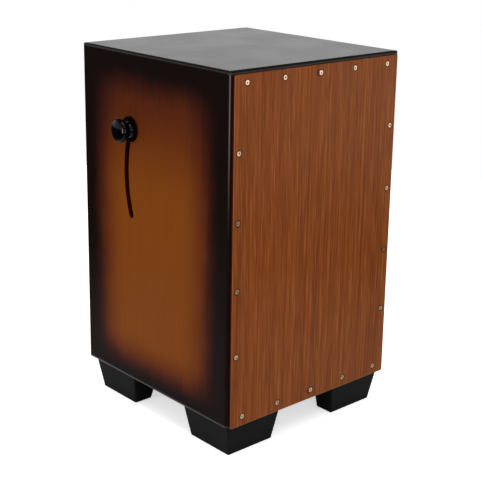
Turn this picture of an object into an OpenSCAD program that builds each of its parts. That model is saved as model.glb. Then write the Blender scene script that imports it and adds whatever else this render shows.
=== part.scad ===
// Cajon: a box drum to sit on and play by hand, with a snare that a side knob swings on and off.
// Units are millimetres. The origin is on the floor under the middle of the box, +Z is up,
// the struck plate (tapa) faces -Y, the sound port faces +Y and the knob is on the -X side.

/* [Box] */
// Width of the box from side to side
body_w = 294; // [240:1:360]
// Depth of the box, struck plate included
body_d = 304; // [250:1:380]
// Height of the box without its feet
body_h = 454; // [375:1:560]
// Thickness of the seat, base and side boards
board_t = 9; // [7.5:0.1:15]
// Radius of the rounded outer edges of the box
edge_r = 3.5; // [2:0.1:4.5]

/* [Tapa] */
// Thickness of the struck plate
tapa_t = 3; // [2:0.1:5]
// Width of the flat board edge left showing around the struck plate
tapa_margin = 1.2; // [0.5:0.1:4]
// Radius of the struck plate's corners
tapa_corner_r = 2; // [1:0.1:6]

/* [Rear panel] */
// Thickness of the rear panel
rear_t = 5; // [3:0.1:8]
// Diameter of the sound port
port_d = 120; // [90:1:140]
// Distance from the top of the box down to the middle of the port
port_drop = 200; // [120:1:220]

/* [Battens] */
// Width of the glued battens that the tapa screws bite into
batten_w = 20; // [17:0.1:26]
// Depth of the battens behind the struck plate
batten_t = 15; // [12:0.1:20]

/* [Tapa screws] */
// Diameter of the countersunk heads
screw_head_d = 7; // [6:0.1:8]
// Diameter of the shanks
screw_d = 3.5; // [2.5:0.1:4]
// Length of the screws under the face of the plate
screw_l = 15; // [12:0.1:17]
// Number of screws in the top row and in the bottom row
row_count = 5; // [3:1:7]
// Number of screws in each side column, between the rows
column_count = 4; // [2:1:6]
// Distance from a side board's inner face to the end screws of a row
row_edge = 15.5; // [12:0.1:16]
// Distance from the seat's underside down to the top row
top_row_edge = 6; // [3:0.1:13]
// Distance from the base's upper face up to the bottom row
bottom_row_edge = 3; // [3:0.1:13]
// Distance from a side board's inner face to a column
column_edge = 4; // [3:0.1:13]
// Distance from the first screw of a column to the last
column_span = 260; // [200:1:300]

/* [Feet] */
// Height of the feet
foot_h = 46; // [30:1:60]
// Length of a foot's outer sides where it stands
foot_w = 76; // [60:1:90]
// Length of a foot's inner sides where it stands, next to its cut corner
foot_end = 27; // [22:1:40]
// How much each side of a foot leans out from the floor to the box
foot_taper = 7.5; // [3:0.1:9]
// Distance from the box's side to the foot where it stands
foot_inset = 14.5; // [12:0.1:20]
// Radius of a foot's upright edges
foot_edge_r = 2.5; // [1.5:0.1:5]
// Chamfer around a foot's sole
foot_chamfer = 1.2; // [0.5:0.1:1.4]
// Diameter of the foot screws' heads
foot_screw_head_d = 8.5; // [7:0.1:10]
// Diameter of the foot screws' shanks
foot_screw_d = 4; // [3:0.1:5]
// Thickness of foot left between screw head and box
foot_web = 12; // [8:0.1:20]
// Thickness of base board left above a foot screw's point
foot_screw_skin = 2.5; // [1:0.1:4]

/* [Snare lever] */
// Diameter of the wooden dowel that carries the snares
dowel_d = 22; // [20:0.1:26]
// Distance from the top of the box down to the dowel's axis
pivot_drop = 158.8; // [150:0.1:170]
// Distance from the dowel's axis to the stud's axis
lever_r = 177; // [140:1:185]
// Angle that the knob swings through from the top of its slot to the bottom
swing = 38.2; // [20:0.1:40]
// Diameter of the pivot pins
pin_d = 8; // [6:0.1:9]
// Length of a pivot pin inside the dowel
pin_grip = 25; // [15:0.1:40]
// Wall of the pivot bushes
bush_wall = 3; // [2:0.1:5]
// Width of the rim of a bush's thrust flange
bush_rim = 3; // [2:0.1:6]
// Thickness of a bush's thrust flange
bush_flange_t = 1.5; // [1:0.1:3]
// Thickness of side board left outside a bush's socket
bush_skin = 3; // [2:0.1:4]
// Width of the flat steel lever arm
arm_w = 20; // [18:0.1:26]
// Thickness of the lever arm
arm_t = 3; // [2:0.1:4]
// Diameter of the screws that hold the arm to the dowel
arm_screw_d = 2.5; // [2:0.1:3]
// Length of the arm screws in the dowel
arm_screw_l = 16; // [10:0.1:25]

/* [Knob] */
// Diameter of the stud's shoulder in its slot
stud_d = 8; // [7:0.1:12]
// Diameter of the stud's threads
thread_d = 6; // [5:0.1:6.5]
// Diameter of the felt washer under the knob
felt_d = 34; // [28:0.1:40]
// Thickness of the felt washer
felt_t = 2.2; // [1:0.1:4]
// Diameter of the nylon washer inside the box
slide_washer_d = 24; // [18:0.1:30]
// Thickness of the nylon washer
slide_washer_t = 1.7; // [1:0.1:3]
// Width across the flats of the stud's nut
nut_af = 10; // [8:0.1:12]
// Thickness of the stud's nut
nut_t = 5; // [3:0.1:6]
// Diameter of the knob's head
knob_d = 31; // [28:0.1:40]
// Radius of the rim around the knob's head
knob_rim_r = 4.5; // [4:0.1:6]
// Radius of the knob's domed face
knob_dome_r = 30; // [25:1:60]
// Diameter of the knob's neck
knob_neck_d = 16; // [14:0.1:18]
// Height of the knob's neck
knob_neck_h = 10; // [9:0.1:14]
// Diameter of the knob's base
knob_base_d = 22; // [19:0.1:22]
// Wall of the brass insert
insert_wall = 1.5; // [1:0.1:3]
// Length of the brass insert
insert_l = 11; // [8:0.1:13]

/* [Snares] */
// Number of wires in a set
wire_count = 10; // [6:1:12]
// Diameter of a wire
wire_d = 1.6; // [1:0.1:2]
// Distance between neighbouring wires
wire_pitch = 3.2; // [2.5:0.1:3.4]
// Reach of the wires above the dowel's axis
wire_reach = 112; // [80:1:125]
// Width of a clamp plate
plate_w = 44; // [42:0.1:48]
// Height of a clamp plate
plate_h = 14; // [12:0.1:14.5]
// Thickness of a clamp plate
plate_t = 1.5; // [1:0.1:2]
// Depth of the flats that are cut in the dowel under the wires
flat_depth = 3; // [2:0.1:4]
// Space between an outer clamp plate and the batten beside it
plate_margin = 19; // [8:0.1:22]
// Diameter of the clamp screws' shanks
clamp_screw_d = 3; // [2:0.1:3]
// Diameter of the clamp screws' heads
clamp_head_d = 5.5; // [4:0.1:6]
// Distance from a clamp plate's end to its screw
clamp_end = 3.5; // [3.2:0.1:4]

/* [Clearances] */
// Radial running clearance of the pins in their bushes and the insert on its thread
running_gap = 0.05; // [0.02:0.01:0.1]
// Free space between faces that slide past each other
slide_gap = 0.3; // [0.2:0.05:0.6]
// End float of the dowel against each bush's flange
end_float = 0.5; // [0.3:0.1:1]
// Free space between the dowel and the battens
dowel_gap = 2; // [1:0.1:5]
// Space on each side of the stud in its slot
slot_gap = 0.8; // [0.3:0.1:1.5]
// Free space between the wire tips and the struck plate
wire_gap = 0.3; // [0.2:0.05:1]
// Radial clearance of a screw in the piece that it holds down
screw_gap = 0.2; // [0.1:0.05:0.4]

/* [Hidden] */

$fn = 64;
// Overshoot of a cutting shape past the face that it opens
cut = 1;

// Box
front_y = -body_d / 2;
board_front_y = front_y + tapa_t;
back_y = body_d / 2;
bottom_z = foot_h;
top_z = foot_h + body_h;
rebate = board_t / 2;
inner_x = body_w / 2 - board_t;
shell_bottom_z = bottom_z + rebate;
shell_top_z = top_z - rebate;
port_z = top_z - port_drop;

// Struck plate and its screws
tapa_inset = edge_r + tapa_margin;
row_x = inner_x - row_edge;
row_pitch = 2 * row_x / (row_count - 1);
top_row_z = top_z - board_t - top_row_edge;
bottom_row_z = bottom_z + board_t + bottom_row_edge;
column_x = inner_x - column_edge;
column_pitch = column_span / (column_count - 1);
row_places = [
    for (i = [0 : row_count - 1], z = [bottom_row_z, top_row_z]) [i * row_pitch - row_x, z]
];
column_places = [
    for (side = [-1, 1], i = [0 : column_count - 1])
        [side * column_x, (bottom_row_z + top_row_z - column_span) / 2 + i * column_pitch]
];
screw_places = concat(row_places, column_places);
head_cone_h = (screw_head_d - screw_d) / 2;
recess_w = screw_head_d / 8;
recess_l = screw_head_d / 2;
recess_h = screw_head_d / 6;

// Feet
foot_cut_slope = tan(22.5);
foot_screw_near = foot_edge_r + foot_screw_head_d;
foot_screw_far = foot_w - foot_edge_r - foot_screw_head_d;
foot_screw_places = [[foot_screw_far, foot_screw_near], [foot_screw_near, foot_screw_far]];
foot_screw_l = foot_web + board_t - foot_screw_skin;
foot_lip = 1;

// Snare lever, seen from its side: first Y, then Z
pivot_y = board_front_y + batten_t + dowel_gap + dowel_d / 2;
pivot_z = top_z - pivot_drop;
rest_angle = swing / 2;
arm_x = end_float + bush_flange_t - inner_x;
dowel_left_x = arm_x + arm_t;
dowel_right_x = inner_x - bush_flange_t - end_float;
bush_d = pin_d + 2 * bush_wall;
bush_flange_d = bush_d + 2 * bush_rim;
bush_depth = board_t - bush_skin;
pin_end_gap = 0.5;
arm_screw_r = (pin_d + dowel_d) / 4;
arm_screw_angle = 90;

// Snares
tip_reach = pivot_y - board_front_y - wire_gap - wire_d / 2;
flat_r = dowel_d / 2 - flat_depth;
wire_line = flat_r + wire_d / 2;
snare_tilt = asin(tip_reach / norm([wire_line, wire_reach])) - atan2(wire_line, wire_reach);
plate_pitch = inner_x - batten_w - plate_w / 2 - plate_margin;
wire_tail = plate_h / 2 + 1;
clamp_screw_l = 10;
clamp_head_t = 2;

// Knob, measured outwards from the side board
knob_base = slide_gap + felt_t;
slot_w = stud_d + 2 * slot_gap;
insert_d = thread_d + 2 * insert_wall;
thread_end_gap = 1.5;
thread_l = insert_l - thread_end_gap;
rim_x = knob_d / 2 - knob_rim_r;
rim_h = knob_neck_h + knob_rim_r;
dome_drop = sqrt(pow(knob_dome_r - knob_rim_r, 2) - pow(rim_x, 2));
dome_edge = rim_x * knob_dome_r / (knob_dome_r - knob_rim_r);
knob_flare = (knob_base_d - knob_neck_d) / 2;
cove_r = (pow(knob_flare, 2) + pow(knob_neck_h / 2, 2)) / (2 * knob_flare);

// ---- Helpers ----

// Rectangle with one corner at the origin and rounded corners
module rounded_rect(w, h, r) {
    translate([r, 0]) square([w - 2 * r, h]);
    translate([0, r]) square([w, h - 2 * r]);
    for (x = [r, w - r], y = [r, h - r]) translate([x, y]) circle(r);
}

// Turns flat work into the side view: its X becomes Y, its Y becomes Z and its Z becomes X
module side_view() {
    rotate([90, 0, 90]) children();
}

// Turns work that stands up so that it points out of the front and puts it at a place on a face
module facing_front(x, y, z) {
    translate([x, y, z]) rotate([-90, 0, 0]) children();
}

// Work around the dowel's axis in the side view
module on_pivot() {
    side_view() translate([pivot_y, pivot_z, 0]) children();
}

// Work around the stud's axis in the side view, at the rest position
module on_stud() {
    on_pivot() rotate(rest_angle) translate([lever_r, 0, 0]) children();
}

// Work that points out of the left side board, its base on that board's outer face
module out_of_left_side() {
    on_stud() translate([0, 0, -body_w / 2]) mirror([0, 0, 1]) children();
}

// Work on the flats of the dowel, X along the dowel and Y up the wires, its base on the flat
module on_flat(x) {
    on_pivot() rotate(snare_tilt) translate([-flat_r, 0, x]) rotate([0, -90, 0]) children();
}

// Outer form of the box boards with rounded edges, square only behind the struck plate's lower edge
module box_form() {
    depth = back_y - board_front_y;
    intersection() {
        translate([-body_w / 2, board_front_y, bottom_z]) linear_extrude(body_h) rounded_rect(body_w, depth, edge_r);
        translate([0, back_y, 0]) rotate([90, 0, 0]) linear_extrude(depth)
            translate([-body_w / 2, bottom_z]) rounded_rect(body_w, body_h, edge_r);
        translate([-body_w / 2, 0, 0]) side_view() linear_extrude(body_w)
            translate([board_front_y, bottom_z]) rounded_rect(depth, body_h, edge_r);
    }
}

// Space that the rear panel takes up in the boards around it
module rear_recess(extra) {
    side = body_w / 2 - rebate;
    translate([-side, back_y - rear_t, shell_bottom_z])
        cube([2 * side, rear_t + extra, shell_top_z - shell_bottom_z]);
}

// Space that one side board takes up, from the base's rebate to the seat's
module side_blank(side) {
    translate([side > 0 ? inner_x : -body_w / 2, board_front_y, shell_bottom_z])
        cube([board_t, back_y - board_front_y, shell_top_z - shell_bottom_z]);
}

// ---- Box ----

// A board that closes the box above or below, rebated for the sides and the rear panel
module end_board(low_z) {
    difference() {
        intersection() {
            box_form();
            translate([-body_w / 2, board_front_y, low_z]) cube([body_w, back_y - board_front_y, board_t]);
        }
        for (side = [-1, 1]) side_blank(side);
        rear_recess(cut);
    }
}

module seat_panel() {
    color("#8c8985") end_board(top_z - board_t);
}

module base_panel() {
    color("#1e1713") difference() {
        end_board(bottom_z);
        foot_screw_bores();
    }
}

// A side board, rebated for the rear panel, with the blind socket of its pivot bush
module side_board(side) {
    difference() {
        intersection() {
            box_form();
            side_blank(side);
        }
        rear_recess(cut);
        on_pivot() mirror([0, 0, side > 0 ? 0 : 1])
            translate([0, 0, inner_x - cut]) cylinder(d = bush_d, h = bush_depth + cut);
    }
}

module left_side_panel() {
    color("#70401e") difference() {
        side_board(-1);
        curved_slot();
    }
}

module right_side_panel() {
    color("#70401e") side_board(1);
}

// The slot that the stud travels in, an arc around the dowel's axis with round ends
module curved_slot() {
    on_pivot() translate([0, 0, -body_w / 2 - cut]) {
        rotate(-rest_angle) rotate_extrude(angle = swing)
            translate([lever_r - slot_w / 2, 0]) square([slot_w, board_t + 2 * cut]);
        for (a = [-rest_angle, rest_angle])
            rotate(a) translate([lever_r, 0, 0]) cylinder(d = slot_w, h = board_t + 2 * cut);
    }
}

module rear_panel() {
    color("#2a1c14") difference() {
        intersection() {
            box_form();
            rear_recess(0);
        }
        facing_front(0, back_y - rear_t - cut, port_z) cylinder(d = port_d, h = rear_t + 2 * cut);
    }
}

module tapa() {
    color("#854b28") difference() {
        translate([tapa_inset - body_w / 2, board_front_y, bottom_z]) rotate([90, 0, 0])
            linear_extrude(tapa_t) rounded_rect(body_w - 2 * tapa_inset, body_h - tapa_inset, tapa_corner_r);
        for (p = screw_places) facing_front(p.x, front_y, p.y) {
            translate([0, 0, -cut]) cylinder(d = screw_d + 2 * screw_gap, h = tapa_t + 2 * cut);
            cylinder(d1 = screw_head_d, d2 = screw_d, h = head_cone_h);
        }
    }
}

// ---- Battens and tapa screws ----

// Straight batten behind the struck plate, drilled for the screws that reach it
module batten(x, z, w, h) {
    color("#b98f5e") difference() {
        translate([x, board_front_y, z]) cube([w, batten_t, h]);
        for (p = screw_places)
            if (p.x > x && p.x < x + w && p.y > z && p.y < z + h)
                facing_front(p.x, front_y, p.y) cylinder(d = screw_d, h = screw_l);
    }
}

module front_rail_top() {
    batten(batten_w - inner_x, top_z - board_t - batten_w, 2 * (inner_x - batten_w), batten_w);
}

module front_rail_bottom() {
    batten(batten_w - inner_x, bottom_z + board_t, 2 * (inner_x - batten_w), batten_w);
}

module front_stile_left() {
    batten(-inner_x, bottom_z + board_t, batten_w, body_h - 2 * board_t);
}

module front_stile_right() {
    batten(inner_x - batten_w, bottom_z + board_t, batten_w, body_h - 2 * board_t);
}

// Countersunk wood screw with a cross recess, its head at the origin and its point up
module wood_screw() {
    difference() {
        union() {
            cylinder(d1 = screw_head_d, d2 = screw_d, h = head_cone_h);
            translate([0, 0, head_cone_h]) cylinder(d = screw_d, h = screw_l - screw_d - head_cone_h);
            translate([0, 0, screw_l - screw_d]) cylinder(d1 = screw_d, d2 = screw_d / 7, h = screw_d);
        }
        for (a = [0, 90]) rotate(a)
            translate([-recess_l / 2, -recess_w / 2, -cut]) cube([recess_l, recess_w, recess_h + cut]);
    }
}

module tapa_screws() {
    color("#b9a184") for (p = screw_places) facing_front(p.x, front_y, p.y) wood_screw();
}

// ---- Feet ----

// Corners of a foot's plan, from the corner nearest the box's own, grown outwards by g
function foot_corners(g) = [
    [-g, -g],
    [foot_w + g, -g],
    [foot_w + g, foot_end + g * foot_cut_slope],
    [foot_end + g * foot_cut_slope, foot_w + g],
    [-g, foot_w + g]
];

// One layer of a foot: short posts at the plan's corners
module foot_layer(z, lean, r, h) {
    for (p = foot_corners(lean - foot_edge_r)) translate([p.x, p.y, z]) cylinder(r = r, h = h, $fn = 32);
}

// Moves work at the front left corner of the box to the corner that the signs name
module at_corner(side, end) {
    mirror([side > 0 ? 1 : 0, 0, 0]) mirror([0, end > 0 ? 1 : 0, 0])
        translate([foot_inset - body_w / 2, foot_inset - body_d / 2, 0]) children();
}

// Solid foot with leaning sides, its inner corner cut off and two sunk screw holes
module foot(side, end) {
    color("#191b1b") at_corner(side, end) difference() {
        hull() {
            foot_layer(0, 0, foot_edge_r - foot_chamfer, foot_chamfer);
            foot_layer(foot_chamfer, foot_taper * foot_chamfer / foot_h, foot_edge_r, foot_chamfer);
            foot_layer(foot_h - foot_lip, foot_taper, foot_edge_r, foot_lip);
        }
        for (p = foot_screw_places) translate([p.x, p.y, -cut]) {
            cylinder(d = foot_screw_head_d + 2 * screw_gap, h = foot_h - foot_web + cut);
            cylinder(d = foot_screw_d + 2 * screw_gap, h = foot_h + 2 * cut);
        }
    }
}

module foot_front_left() {
    foot(-1, -1);
}

module foot_front_right() {
    foot(1, -1);
}

module foot_rear_left() {
    foot(-1, 1);
}

module foot_rear_right() {
    foot(1, 1);
}

// Places something at every foot screw, level with its head's underside
module at_foot_screws() {
    for (side = [-1, 1], end = [-1, 1], p = foot_screw_places)
        at_corner(side, end) translate([p.x, p.y, foot_h - foot_web]) children();
}

module foot_screw_bores() {
    at_foot_screws() cylinder(d = foot_screw_d, h = foot_screw_l);
}

module foot_screws() {
    head_t = foot_screw_d / 2;
    color("#8a8a88") at_foot_screws() {
        difference() {
            translate([0, 0, -head_t]) cylinder(d = foot_screw_head_d, h = head_t);
            for (a = [0, 90]) rotate(a)
                translate([-head_t, -recess_w / 2, -head_t - cut]) cube([2 * head_t, recess_w, recess_h + cut]);
        }
        cylinder(d = foot_screw_d, h = foot_screw_l);
    }
}

// ---- Snare lever ----

// Flanged bush pressed into a side board's blind socket, seen from the inside of the box
module pivot_bush(side) {
    color("#e6e2d6") on_pivot() mirror([0, 0, side > 0 ? 0 : 1]) difference() {
        union() {
            translate([0, 0, inner_x]) cylinder(d = bush_d, h = bush_depth);
            translate([0, 0, inner_x - bush_flange_t]) cylinder(d = bush_flange_d, h = bush_flange_t);
        }
        translate([0, 0, inner_x - bush_flange_t - cut])
            cylinder(d = pin_d + 2 * running_gap, h = bush_flange_t + bush_depth + 2 * cut);
    }
}

module pivot_bush_left() {
    pivot_bush(-1);
}

module pivot_bush_right() {
    pivot_bush(1);
}

module snare_dowel() {
    color("#c9a26b") difference() {
        on_pivot() translate([0, 0, dowel_left_x]) cylinder(d = dowel_d, h = dowel_right_x - dowel_left_x);
        on_pivot() {
            translate([0, 0, dowel_left_x - cut]) cylinder(d = pin_d, h = pin_grip + cut);
            translate([0, 0, dowel_right_x - pin_grip]) cylinder(d = pin_d, h = pin_grip + cut);
        }
        at_lever_screws() cylinder(d = arm_screw_d, h = arm_screw_l);
        for (i = [-1 : 1]) on_flat(i * plate_pitch)
            translate([-plate_w / 2, -dowel_d, 0]) cube([plate_w, 2 * dowel_d, dowel_d]);
        at_clamp_screws() translate([0, 0, -clamp_screw_l]) cylinder(d = clamp_screw_d, h = clamp_screw_l + cut);
    }
}

module pivot_pin_left() {
    outer = -inner_x - bush_depth + pin_end_gap;
    color("#a7a8aa") on_pivot() translate([0, 0, outer]) cylinder(d = pin_d, h = dowel_left_x + pin_grip - outer);
}

module pivot_pin_right() {
    inner = dowel_right_x - pin_grip;
    color("#a7a8aa") on_pivot() translate([0, 0, inner])
        cylinder(d = pin_d, h = inner_x + bush_depth - pin_end_gap - inner);
}

// Flat link from the dowel's end to the stud
module lever_arm() {
    color("#9a9c9e") difference() {
        on_pivot() rotate(rest_angle) translate([0, 0, arm_x]) linear_extrude(arm_t) {
            translate([0, -arm_w / 2]) square([lever_r, arm_w]);
            circle(d = arm_w);
            translate([lever_r, 0]) circle(d = arm_w);
        }
        on_pivot() translate([0, 0, arm_x - cut]) cylinder(d = pin_d, h = arm_t + 2 * cut);
        on_stud() translate([0, 0, arm_x - cut]) cylinder(d = thread_d, h = arm_t + 2 * cut);
        at_lever_screws() translate([0, 0, -arm_t - cut]) cylinder(d = arm_screw_d, h = arm_t + 2 * cut);
    }
}

// Places something at both arm screws, on the dowel's end
module at_lever_screws() {
    for (side = [-1, 1]) on_pivot() rotate(rest_angle + side * arm_screw_angle)
        translate([arm_screw_r, 0, dowel_left_x]) children();
}

module lever_screws() {
    color("#b4b5b6") at_lever_screws() translate([0, 0, -arm_t]) cylinder(d = arm_screw_d, h = arm_t + arm_screw_l);
}

module lever_stud() {
    outer = -body_w / 2 - knob_base;
    color("#a7a8aa") on_stud() {
        translate([0, 0, outer]) cylinder(d = stud_d, h = arm_x - outer);
        translate([0, 0, outer - thread_l]) cylinder(d = thread_d, h = thread_l);
        translate([0, 0, arm_x]) cylinder(d = thread_d, h = arm_t + nut_t + 1);
    }
}

module lever_nut() {
    color("#b4b5b6") on_stud() translate([0, 0, dowel_left_x]) difference() {
        cylinder(d = nut_af / cos(30), h = nut_t, $fn = 6);
        translate([0, 0, -cut]) cylinder(d = thread_d, h = nut_t + 2 * cut);
    }
}

module slide_washer() {
    color("#e6e2d6") on_stud() translate([0, 0, arm_x - slide_washer_t]) difference() {
        cylinder(d = slide_washer_d, h = slide_washer_t);
        translate([0, 0, -cut]) cylinder(d = stud_d, h = slide_washer_t + 2 * cut);
    }
}

// ---- Knob ----

module felt_washer() {
    color("#141313") out_of_left_side() translate([0, 0, slide_gap]) difference() {
        cylinder(d = felt_d, h = felt_t);
        translate([0, 0, -cut]) cylinder(d = stud_d + 2 * running_gap, h = felt_t + 2 * cut);
    }
}

// Half section of the knob: a necked base, a round rim and a shallow dome that runs into the rim
module knob_section() {
    difference() {
        square([knob_base_d / 2, knob_neck_h]);
        translate([knob_neck_d / 2 + cove_r, knob_neck_h / 2]) circle(cove_r);
    }
    translate([0, knob_neck_h]) square([rim_x, knob_rim_r]);
    translate([rim_x, rim_h]) circle(knob_rim_r);
    intersection() {
        translate([0, rim_h]) square([dome_edge, knob_dome_r - dome_drop]);
        translate([0, rim_h - dome_drop]) circle(knob_dome_r);
    }
}

module snare_knob() {
    color("#0c0a0a") out_of_left_side() translate([0, 0, knob_base]) difference() {
        rotate_extrude() knob_section();
        translate([0, 0, -cut]) cylinder(d = insert_d, h = insert_l + cut);
    }
}

module knob_insert() {
    color("#b28a3e") out_of_left_side() translate([0, 0, knob_base]) difference() {
        cylinder(d = insert_d, h = insert_l);
        translate([0, 0, -cut]) cylinder(d = thread_d + 2 * running_gap, h = insert_l + 2 * cut);
    }
}

// ---- Snares ----

// A set of straight wires that lie side by side on a flat of the dowel
module snare_strands(i) {
    first = -(wire_count - 1) * wire_pitch / 2;
    color("#c4c6c8") on_flat(i * plate_pitch) for (n = [0 : wire_count - 1])
        translate([first + n * wire_pitch, -wire_tail, wire_d / 2]) rotate([-90, 0, 0])
            cylinder(d = wire_d, h = wire_tail + wire_reach);
}

// Plate that clamps a set of wires to the dowel
module snare_plate(i) {
    hole_x = plate_w / 2 - clamp_end;
    color("#a3a5a7") on_flat(i * plate_pitch) translate([0, 0, wire_d]) difference() {
        translate([-plate_w / 2, -plate_h / 2, 0]) linear_extrude(plate_t) rounded_rect(plate_w, plate_h, plate_t);
        for (x = [-hole_x, hole_x]) translate([x, 0, -cut]) cylinder(d = clamp_screw_d, h = plate_t + 2 * cut);
    }
}

// Places something at every clamp screw, on the flat under the wires
module at_clamp_screws() {
    hole_x = plate_w / 2 - clamp_end;
    for (i = [-1 : 1], x = [-hole_x, hole_x]) on_flat(i * plate_pitch) translate([x, 0, 0]) children();
}

module snare_screws() {
    head_z = wire_d + plate_t;
    color("#b4b5b6") at_clamp_screws() {
        translate([0, 0, -clamp_screw_l]) cylinder(d = clamp_screw_d, h = clamp_screw_l + head_z);
        translate([0, 0, head_z]) cylinder(d = clamp_head_d, h = clamp_head_t);
    }
}

module snare_strands_left() {
    snare_strands(-1);
}

module snare_strands_centre() {
    snare_strands(0);
}

module snare_strands_right() {
    snare_strands(1);
}

module snare_plate_left() {
    snare_plate(-1);
}

module snare_plate_centre() {
    snare_plate(0);
}

module snare_plate_right() {
    snare_plate(1);
}

seat_panel();
base_panel();
left_side_panel();
right_side_panel();
rear_panel();
tapa();
front_rail_top();
front_rail_bottom();
front_stile_left();
front_stile_right();
tapa_screws();
foot_front_left();
foot_front_right();
foot_rear_left();
foot_rear_right();
foot_screws();
pivot_bush_left();
pivot_bush_right();
snare_dowel();
pivot_pin_left();
pivot_pin_right();
lever_arm();
lever_screws();
lever_stud();
lever_nut();
slide_washer();
felt_washer();
snare_knob();
knob_insert();
snare_strands_left();
snare_strands_centre();
snare_strands_right();
snare_plate_left();
snare_plate_centre();
snare_plate_right();
snare_screws();
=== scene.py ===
"""A cajon, the wooden box drum with a snare inside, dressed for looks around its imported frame.

The frame gives every board, batten, screw and lever its place in metres: the origin is on
the floor under the middle of the box, +Z is up, the struck plate (the tapa) faces -Y, the
sound port faces +Y and the snare's knob is on the -X side.
"""

import logging
import math
from collections.abc import Sequence
from dataclasses import dataclass
from enum import Enum

import bpy
from mathutils import Matrix, Vector, noise


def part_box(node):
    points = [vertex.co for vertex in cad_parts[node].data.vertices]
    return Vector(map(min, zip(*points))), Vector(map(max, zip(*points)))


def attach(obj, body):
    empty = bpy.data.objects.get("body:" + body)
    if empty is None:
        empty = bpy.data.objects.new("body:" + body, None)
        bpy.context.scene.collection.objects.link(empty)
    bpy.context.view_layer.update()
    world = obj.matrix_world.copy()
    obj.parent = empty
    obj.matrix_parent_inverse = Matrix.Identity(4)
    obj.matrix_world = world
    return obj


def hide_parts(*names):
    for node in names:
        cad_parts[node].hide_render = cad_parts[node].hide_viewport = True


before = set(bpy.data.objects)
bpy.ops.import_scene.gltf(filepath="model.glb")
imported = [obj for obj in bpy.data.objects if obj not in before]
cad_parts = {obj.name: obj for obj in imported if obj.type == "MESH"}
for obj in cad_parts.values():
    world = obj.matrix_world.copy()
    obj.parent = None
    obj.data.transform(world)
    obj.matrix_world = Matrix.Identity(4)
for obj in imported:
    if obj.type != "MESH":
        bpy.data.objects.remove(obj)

log = logging.getLogger("cajon")

MM = 0.001  # one millimetre, in metres
X, Y, Z = 0, 1, 2
Shape = tuple[list[Vector], list[tuple[int, ...]]]
Socket = bpy.types.NodeSocket
Tree = bpy.types.NodeTree


# ---------------------------------------------------------------- colours and nodes


def linear(colour: str) -> tuple[float, float, float, float]:
    """Turns an sRGB hex colour into the linear one that the shaders take.

    Args:
        colour: The colour as "#rrggbb".

    Returns:
        Red, green, blue and an alpha of 1.
    """
    channels = [int(colour[i : i + 2], 16) / 255 for i in (1, 3, 5)]
    bent = [c / 12.92 if c <= 0.04045 else ((c + 0.055) / 1.055) ** 2.4 for c in channels]
    return (bent[0], bent[1], bent[2], 1.0)


def per_metre(size_mm: float) -> float:
    """Gives the texture scale at which one feature of a noise is size_mm across."""
    return 1.0 / (size_mm * MM)


def add_node(
    tree: Tree,
    kind: str,
    inputs: dict[str | int, object] | None = None,
    output: str | int = 0,
    stops: Sequence[tuple[float, str]] = (),
    **settings: object,
) -> Socket:
    """Adds one node, with its settings, its fixed inputs and its links.

    Args:
        tree: The tree that the node joins.
        kind: The node's class name in Blender.
        inputs: A value, a hex colour or an output socket for each input, by name or number.
        output: The name or number of the output that is handed on.
        stops: The places and hex colours of a colour ramp's stops.
        **settings: The node's own options.

    Returns:
        The new node's output socket.
    """
    node = tree.nodes.new(kind)
    for name, value in settings.items():
        setattr(node, name, value)
    for name, value in (inputs or {}).items():
        if isinstance(value, Socket):
            tree.links.new(value, node.inputs[name])
        elif isinstance(value, str):
            node.inputs[name].default_value = linear(value)
        else:
            node.inputs[name].default_value = value
    if stops:
        ramp = node.color_ramp
        while len(ramp.elements) < len(stops):
            ramp.elements.new(1.0)
        for element, (place, colour) in zip(ramp.elements, stops):
            element.position = place
            element.color = linear(colour)
    return node.outputs[output]


# The settings of the nodes that are used again and again. A blend takes its share at input 0
# and two colours at 6 and 7, and hands the result on at output 2. A fade takes a value at
# input 0 and rises smoothly from input 3 to input 4 as the value goes from 1 to 2.
BLEND = {"output": 2, "data_type": "RGBA"}
FADE = {"interpolation_type": "SMOOTHSTEP"}
TIMES = {"operation": "MULTIPLY"}


class Grain(Enum):
    """The way the fibres of a wooden piece run."""

    ALONG_X = X
    ALONG_Y = Y
    ALONG_Z = Z


def streaks(
    tree: Tree,
    grain: Grain,
    width_mm: float,
    length_mm: float,
    seed: float = 0.0,
    detail: float = 2.0,
) -> Socket:
    """Lays streaks along the grain, from the piece's own coordinates.

    Args:
        tree: The material's node tree.
        grain: The way the fibres run.
        width_mm: How wide one streak is.
        length_mm: How long one streak is.
        seed: Moves the streaks, so that two layers differ.
        detail: How much finer detail is laid over them.

    Returns:
        The streaks' strength, about 0.5 on average.
    """
    place = add_node(tree, "ShaderNodeTexCoord", output="Object")
    squeeze = [1.0, 1.0, 1.0]
    squeeze[grain.value] = width_mm / length_mm
    start = (seed, seed * 0.7, seed * 1.3)
    mapped = add_node(tree, "ShaderNodeMapping", {"Vector": place, "Scale": squeeze, "Location": start})
    return add_node(
        tree,
        "ShaderNodeTexNoise",
        {"Vector": mapped, "Scale": per_metre(width_mm), "Detail": detail, "Roughness": 0.55},
    )


def mottle(tree: Tree, size_mm: float, detail: float = 2.0, seed: float = 0.0) -> Socket:
    """Lays an even mottle, from the piece's own coordinates.

    Args:
        tree: The material's node tree.
        size_mm: How large one spot is.
        detail: How much finer detail is laid over it.
        seed: Moves the mottle.

    Returns:
        The mottle's strength, about 0.5 on average.
    """
    place = add_node(tree, "ShaderNodeTexCoord", output="Object")
    mapped = add_node(tree, "ShaderNodeMapping", {"Vector": place, "Location": (seed, seed, seed)})
    return add_node(
        tree, "ShaderNodeTexNoise", {"Vector": mapped, "Scale": per_metre(size_mm), "Detail": detail}
    )


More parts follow.
